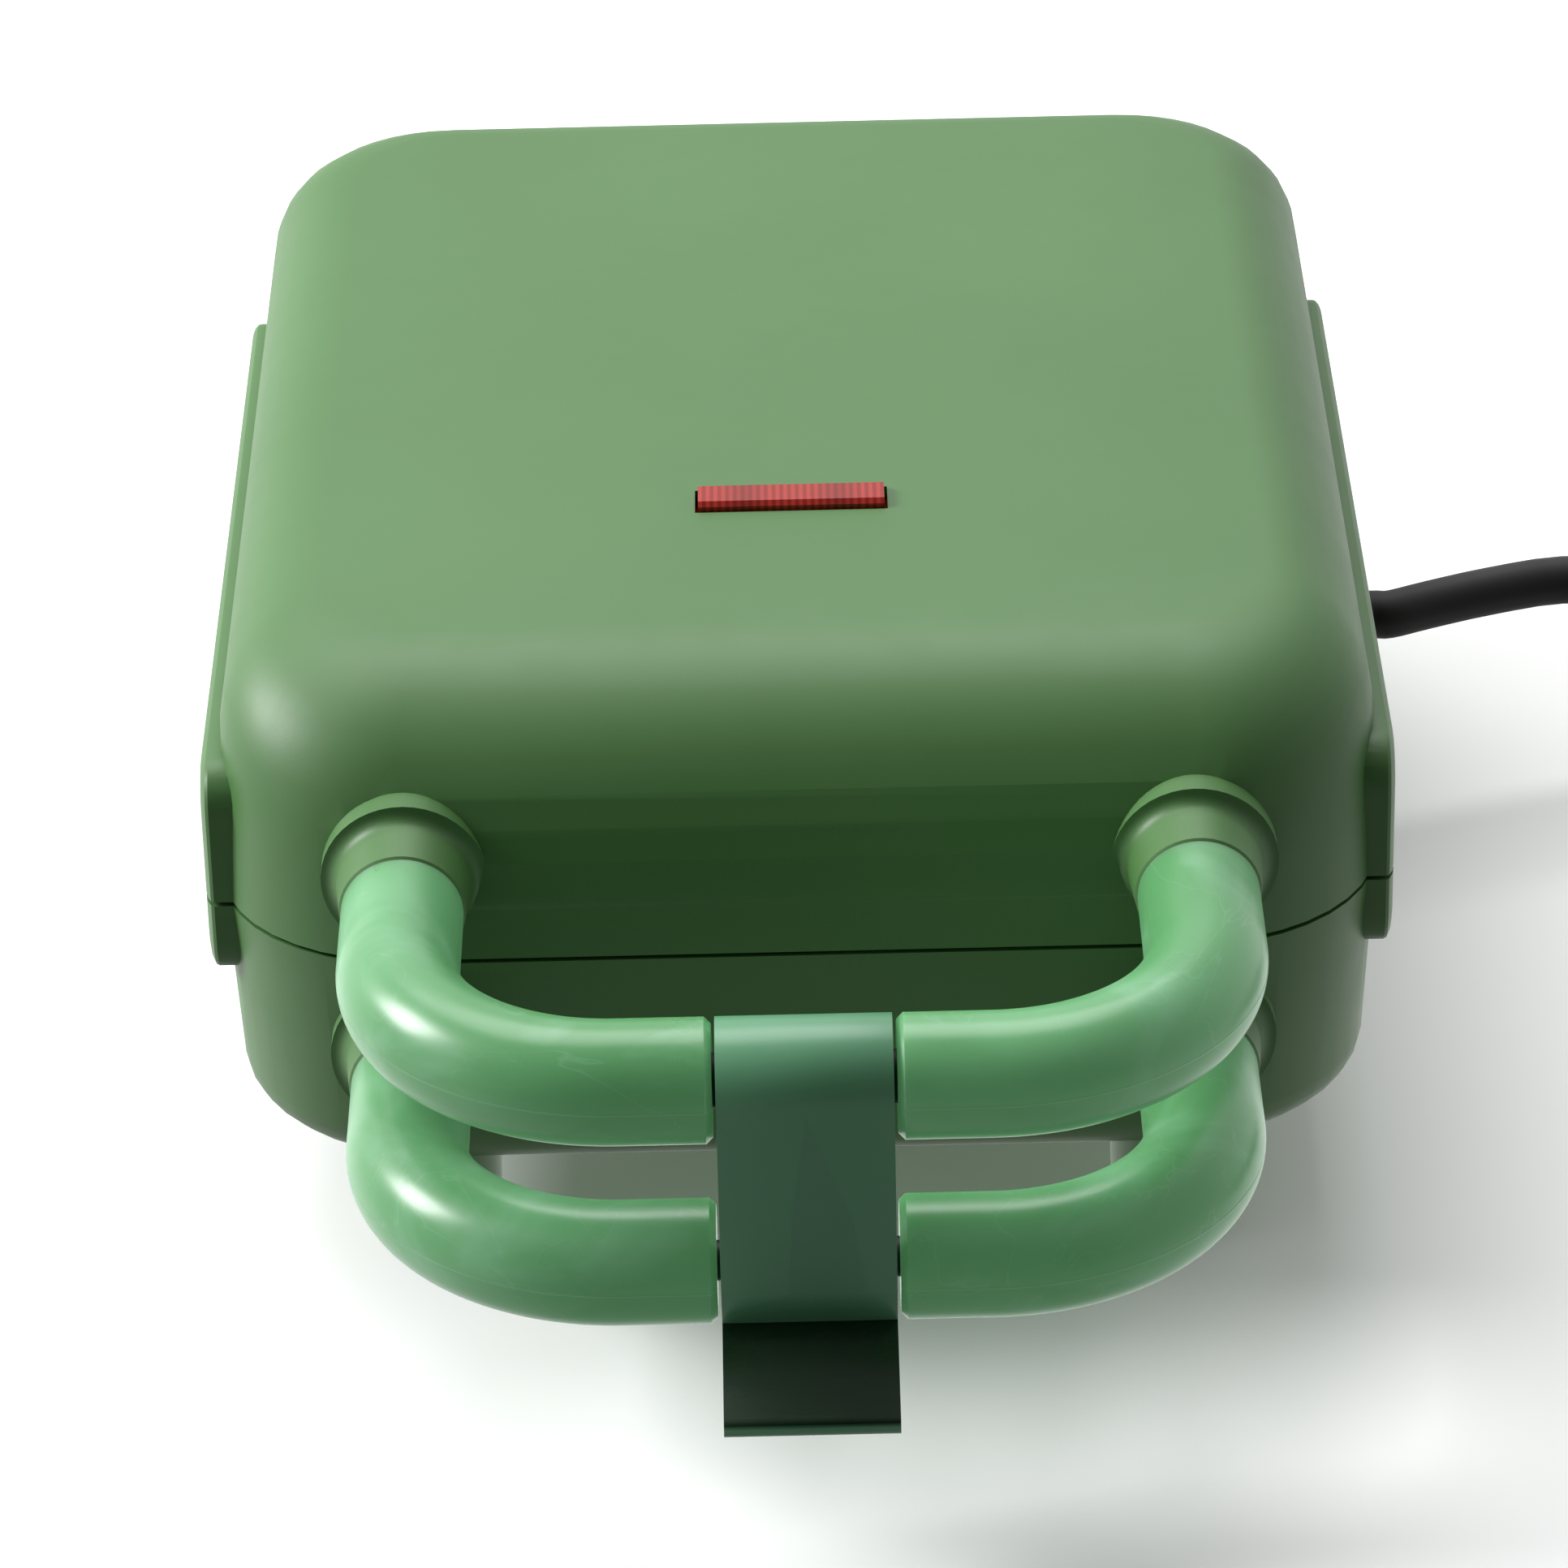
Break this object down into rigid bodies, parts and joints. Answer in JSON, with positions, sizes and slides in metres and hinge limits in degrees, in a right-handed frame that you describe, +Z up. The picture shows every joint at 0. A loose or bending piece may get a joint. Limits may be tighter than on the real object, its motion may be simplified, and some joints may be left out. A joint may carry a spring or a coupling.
{
  "type": "electric pie maker",
  "caption": "Countertop pie maker with a hinged lid, cast plates with pie cavities, tubular front handles and a swing latch.",
  "frame": {"origin": "centre of the footprint of the appliance without its cord, on the surface that it stands on", "axes": "+Z up, +Y towards the hinge at the back, +X to the right seen from the handles"},
  "size_m": [0.3896, 0.324, 0.1024],
  "materials": {
    "housing": "satin moulded plastic, mid green",
    "dark_plastic": "matt dark plastic",
    "steel": "plain steel",
    "rubber": "matt black rubber",
    "plate": "cast plate with a dark non-stick coating",
    "alloy": "bright sheet",
    "ceramic": "pale heat resistant moulding",
    "handle": "glossy marbled jade green resin",
    "cord": "matt black cord sheath",
    "brass": "plain brass",
    "lamp": "small glass neon lamp",
    "lens": "translucent red",
    "latch": "dark green, semi gloss"
  },
  "bodies": {
    "base": {"lower_housing": "housing", "base_cover": "dark_plastic", "base_cover_screws": "steel", "foot_pads": "rubber", "lower_plate": "plate", "lower_pie_cups": "plate", "lower_plate_screws": "steel", "lower_heater": "steel", "lower_reflector": "alloy", "thermal_fuse": "steel", "terminal_block": "ceramic", "lower_handle_left": "handle", "lower_handle_right": "handle", "lower_handle_screws": "steel", "keeper_bar": "steel", "hinge_pins": "steel", "cord_gland": "rubber", "power_cord": "cord", "cord_coil": "cord", "plug": "cord", "plug_pins": "brass"},
    "lid": {"upper_housing": "housing", "upper_plate": "plate", "upper_plate_screws": "steel", "upper_heater": "steel", "upper_reflector": "alloy", "thermostat": "dark_plastic", "upper_handle_left": "handle", "upper_handle_right": "handle", "upper_handle_screws": "steel", "latch_bar": "steel", "lamp_holder": "ceramic", "pilot_lamps": "lamp", "pilot_lens": "lens"},
    "latch": {"latch": "latch"}
  },
  "joints": [
    {"name": "lid_hinge", "type": "hinge", "parent": "base", "child": "lid", "pos_m": [0, 0.15699, 0.06], "axis": [-1, 0, 0], "range_deg": [0, 100]},
    {"name": "latch_swing", "type": "hinge", "parent": "lid", "child": "latch", "pos_m": [0, -0.13801, 0.074], "axis": [-1, 0, 0], "range_deg": [0, 90]}
  ]
}
